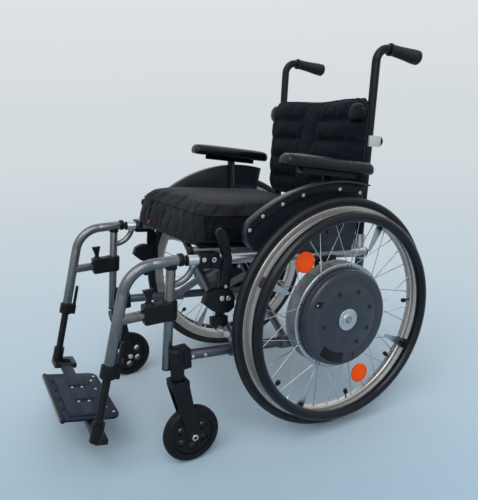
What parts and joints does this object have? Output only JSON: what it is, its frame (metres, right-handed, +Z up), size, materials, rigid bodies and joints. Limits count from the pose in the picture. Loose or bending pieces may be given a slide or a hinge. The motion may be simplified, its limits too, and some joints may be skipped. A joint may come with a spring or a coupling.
{
  "type": "wheelchair with power-assist drive wheels",
  "caption": "Folding wheelchair with push-rim power-assist drive wheels, swing-away leg hangers, flip-up footplate, lift-off armrests, cushioned seat and ribbed back.",
  "frame": {"origin": "on the floor, under the middle of the whole chair's box", "axes": "+Z up, -Y forward, +X to the user's left"},
  "size_m": [0.694, 1.0068, 0.9656],
  "materials": {
    "frame_silver": "satin silver paint",
    "frame_grey": "satin warm grey paint",
    "black_metal": "satin black powder coat",
    "caster_rubber": "matte",
    "tyre": "matte with tread",
    "rim_alloy": "polished",
    "spoke_steel": "bright",
    "drum_alloy": "cast, satin",
    "cover_plastic": "satin",
    "pack_plastic": "satin",
    "axle_steel": "satin",
    "black_plastic": "matte",
    "handrim_coat": "semi-gloss coating",
    "guard_plastic": "satin",
    "pad_foam": "skinned foam",
    "grip_rubber": "matte",
    "fabric_black": "woven",
    "plate_plastic": "grained"
  },
  "bodies": {
    "left_side": {"left_side_frame": "frame_silver", "left_caster_housing": "black_metal", "left_motor_axle": "axle_steel", "left_brake_body": "black_metal", "left_side_guard": "guard_plastic", "left_back_cane": "black_metal", "left_push_grip": "grip_rubber", "seat_sling": "fabric_black", "seat_cushion": "fabric_black", "backrest": "fabric_black"},
    "left_wheel": {"left_tyre": "tyre", "left_rim": "rim_alloy", "left_spokes": "spoke_steel", "left_motor_drum": "drum_alloy", "left_battery_cover": "cover_plastic", "left_battery_pack": "pack_plastic"},
    "left_handrim": {"left_handrim": "handrim_coat"},
    "left_release_button": {"left_release_button": "black_plastic"},
    "left_caster_fork": {"left_caster_fork": "black_metal"},
    "left_caster_wheel": {"left_caster_wheel": "caster_rubber"},
    "left_latch_lever": {"left_latch_lever": "black_plastic"},
    "left_clamp_lever": {"left_clamp_lever": "black_metal"},
    "left_foot_tube": {"left_foot_tube": "black_metal"},
    "left_brake_lever": {"left_brake_lever": "black_metal"},
    "left_brake_shoe": {"left_brake_shoe": "black_metal"},
    "left_hanger": {"left_hanger": "frame_grey", "left_hanger_latch": "black_plastic", "left_foot_clamp": "black_plastic"},
    "left_armrest": {"left_armrest_post": "black_metal", "left_armrest_pad": "pad_foam"},
    "right_side": {"right_side_frame": "frame_silver", "right_caster_housing": "black_metal", "right_motor_axle": "axle_steel", "right_brake_body": "black_metal", "right_side_guard": "guard_plastic", "right_back_cane": "black_metal", "right_push_grip": "grip_rubber"},
    "right_wheel": {"right_tyre": "tyre", "right_rim": "rim_alloy", "right_spokes": "spoke_steel", "right_motor_drum": "drum_alloy", "right_battery_cover": "cover_plastic", "right_battery_pack": "pack_plastic"},
    "right_handrim": {"right_handrim": "handrim_coat"},
    "right_release_button": {"right_release_button": "black_plastic"},
    "right_caster_fork": {"right_caster_fork": "black_metal"},
    "right_caster_wheel": {"right_caster_wheel": "caster_rubber"},
    "right_latch_lever": {"right_latch_lever": "black_plastic"},
    "right_clamp_lever": {"right_clamp_lever": "black_metal"},
    "right_foot_tube": {"right_foot_tube": "black_metal"},
    "right_brake_lever": {"right_brake_lever": "black_metal"},
    "right_brake_shoe": {"right_brake_shoe": "black_metal"},
    "right_hanger": {"right_hanger": "frame_grey", "right_hanger_latch": "black_plastic", "right_foot_clamp": "black_plastic"},
    "right_armrest": {"right_armrest_post": "black_metal", "right_armrest_pad": "pad_foam"},
    "cross_brace_left": {"cross_brace_left": "frame_silver"},
    "cross_brace_right": {"cross_brace_right": "frame_silver"},
    "footplate": {"footplate": "plate_plastic"}
  },
  "joints": [
    {"name": "left_wheel_spin", "type": "hinge", "parent": "left_side", "child": "left_wheel", "pos_m": [0.295, 0.17168, 0.3], "axis": [1, 0, 0], "continuous": true},
    {"name": "left_handrim_push", "type": "hinge", "parent": "left_wheel", "child": "left_handrim", "pos_m": [0.295, 0.17168, 0.3], "axis": [1, 0, 0], "range_deg": [-2, 2], "stiffness_Nm_per_rad": 60},
    {"name": "left_button_press", "type": "slide", "parent": "left_side", "child": "left_release_button", "axis": [1, 0, 0], "range_m": [-0.004, 0], "stiffness_N_per_m": 600},
    {"name": "left_caster_swivel", "type": "hinge", "parent": "left_side", "child": "left_caster_fork", "pos_m": [0.253, -0.25132, 0.217], "axis": [0, 0, 1], "continuous": true},
    {"name": "left_caster_spin", "type": "hinge", "parent": "left_caster_fork", "child": "left_caster_wheel", "pos_m": [0.253, -0.22732, 0.07], "axis": [1, 0, 0], "continuous": true},
    {"name": "left_hanger_swing", "type": "hinge", "parent": "left_side", "child": "left_hanger", "pos_m": [0.231, -0.24032, 0.492], "axis": [0, 0.1132, 0.9936], "range_deg": [0, 90]},
    {"name": "left_latch_press", "type": "hinge", "parent": "left_hanger", "child": "left_latch_lever", "pos_m": [0.231, -0.29908, 0.409], "axis": [-1, 0, 0], "range_deg": [0, 25], "stiffness_Nm_per_rad": 0.6},
    {"name": "left_clamp_open", "type": "hinge", "parent": "left_hanger", "child": "left_clamp_lever", "pos_m": [0.231, -0.38268, 0.26191], "axis": [-1, 0, 0], "range_deg": [0, 80]},
    {"name": "left_foot_slide", "type": "slide", "parent": "left_hanger", "child": "left_foot_tube", "axis": [0, 0.2672, 0.9636], "range_m": [-0.025, 0.05]},
    {"name": "left_brake_pull", "type": "hinge", "parent": "left_side", "child": "left_brake_lever", "pos_m": [0.248, -0.12368, 0.42034], "axis": [1, 0, 0], "range_deg": [0, 28]},
    {"name": "left_brake_press", "type": "hinge", "parent": "left_side", "child": "left_brake_shoe", "pos_m": [0.248, -0.13755, 0.39575], "axis": [1, 0, 0], "range_deg": [0, 8.4]},
    {"name": "left_armrest_lift", "type": "slide", "parent": "left_side", "child": "left_armrest", "axis": [0, 0, 1], "range_m": [0, 0.06]},
    {"name": "right_wheel_spin", "type": "hinge", "parent": "right_side", "child": "right_wheel", "pos_m": [-0.295, 0.17168, 0.3], "axis": [1, 0, 0], "continuous": true},
    {"name": "right_handrim_push", "type": "hinge", "parent": "right_wheel", "child": "right_handrim", "pos_m": [-0.295, 0.17168, 0.3], "axis": [1, 0, 0], "range_deg": [-2, 2], "stiffness_Nm_per_rad": 60},
    {"name": "right_button_press", "type": "slide", "parent": "right_side", "child": "right_release_button", "axis": [-1, 0, 0], "range_m": [-0.004, 0], "stiffness_N_per_m": 600},
    {"name": "right_caster_swivel", "type": "hinge", "parent": "right_side", "child": "right_caster_fork", "pos_m": [-0.253, -0.25132, 0.217], "axis": [0, 0, 1], "continuous": true},
    {"name": "right_caster_spin", "type": "hinge", "parent": "right_caster_fork", "child": "right_caster_wheel", "pos_m": [-0.253, -0.22732, 0.07], "axis": [1, 0, 0], "continuous": true},
    {"name": "right_hanger_swing", "type": "hinge", "parent": "right_side", "child": "right_hanger", "pos_m": [-0.231, -0.24032, 0.492], "axis": [0, -0.1132, -0.9936], "range_deg": [0, 90]},
    {"name": "right_latch_press", "type": "hinge", "parent": "right_hanger", "child": "right_latch_lever", "pos_m": [-0.231, -0.29908, 0.409], "axis": [-1, 0, 0], "range_deg": [0, 25], "stiffness_Nm_per_rad": 0.6},
    {"name": "right_clamp_open", "type": "hinge", "parent": "right_hanger", "child": "right_clamp_lever", "pos_m": [-0.231, -0.38268, 0.26191], "axis": [-1, 0, 0], "range_deg": [0, 80]},
    {"name": "right_foot_slide", "type": "slide", "parent": "right_hanger", "child": "right_foot_tube", "axis": [0, 0.2672, 0.9636], "range_m": [-0.025, 0.05]},
    {"name": "right_brake_pull", "type": "hinge", "parent": "right_side", "child": "right_brake_lever", "pos_m": [-0.248, -0.12368, 0.42034], "axis": [1, 0, 0], "range_deg": [0, 28]},
    {"name": "right_brake_press", "type": "hinge", "parent": "right_side", "child": "right_brake_shoe", "pos_m": [-0.248, -0.13755, 0.39575], "axis": [1, 0, 0], "range_deg": [0, 8.4]},
    {"name": "right_armrest_lift", "type": "slide", "parent": "right_side", "child": "right_armrest", "axis": [0, 0, 1], "range_m": [0, 0.06]},
    {"name": "fold", "type": "hinge", "parent": "left_side", "child": "cross_brace_left", "pos_m": [0.231, -0.26613, 0.26547], "axis": [0, 0.9936, -0.1132], "range_deg": [0, 42], "deforming": ["seat_sling", "seat_cushion", "backrest"]},
    {"name": "brace_cross", "type": "hinge", "parent": "cross_brace_left", "child": "cross_brace_right", "pos_m": [0, -0.25117, 0.39677], "axis": [0, 0.9936, -0.1132], "range_deg": [-84, 0]},
    {"name": "right_side_hold", "type": "hinge", "parent": "cross_brace_right", "child": "right_side", "pos_m": [-0.231, -0.26613, 0.26547], "axis": [0, 0.9936, -0.1132], "range_deg": [0, 42]},
    {"name": "plate_flip", "type": "hinge", "parent": "right_foot_tube", "child": "footplate", "pos_m": [-0.187, -0.43032, 0.11], "axis": [0, -0.9724, 0.2334], "range_deg": [0, 88.2]}
  ],
  "couplings": [
    {"joint": "left_brake_press", "follows": "left_brake_pull", "ratio": 0.3},
    {"joint": "right_brake_press", "follows": "right_brake_pull", "ratio": 0.3},
    {"joint": "left_foot_slide", "follows": "right_foot_slide", "ratio": 1},
    {"joint": "brace_cross", "follows": "fold", "ratio": -2},
    {"joint": "right_side_hold", "follows": "fold", "ratio": 1},
    {"joint": "plate_flip", "follows": "fold", "ratio": 2.1}
  ]
}
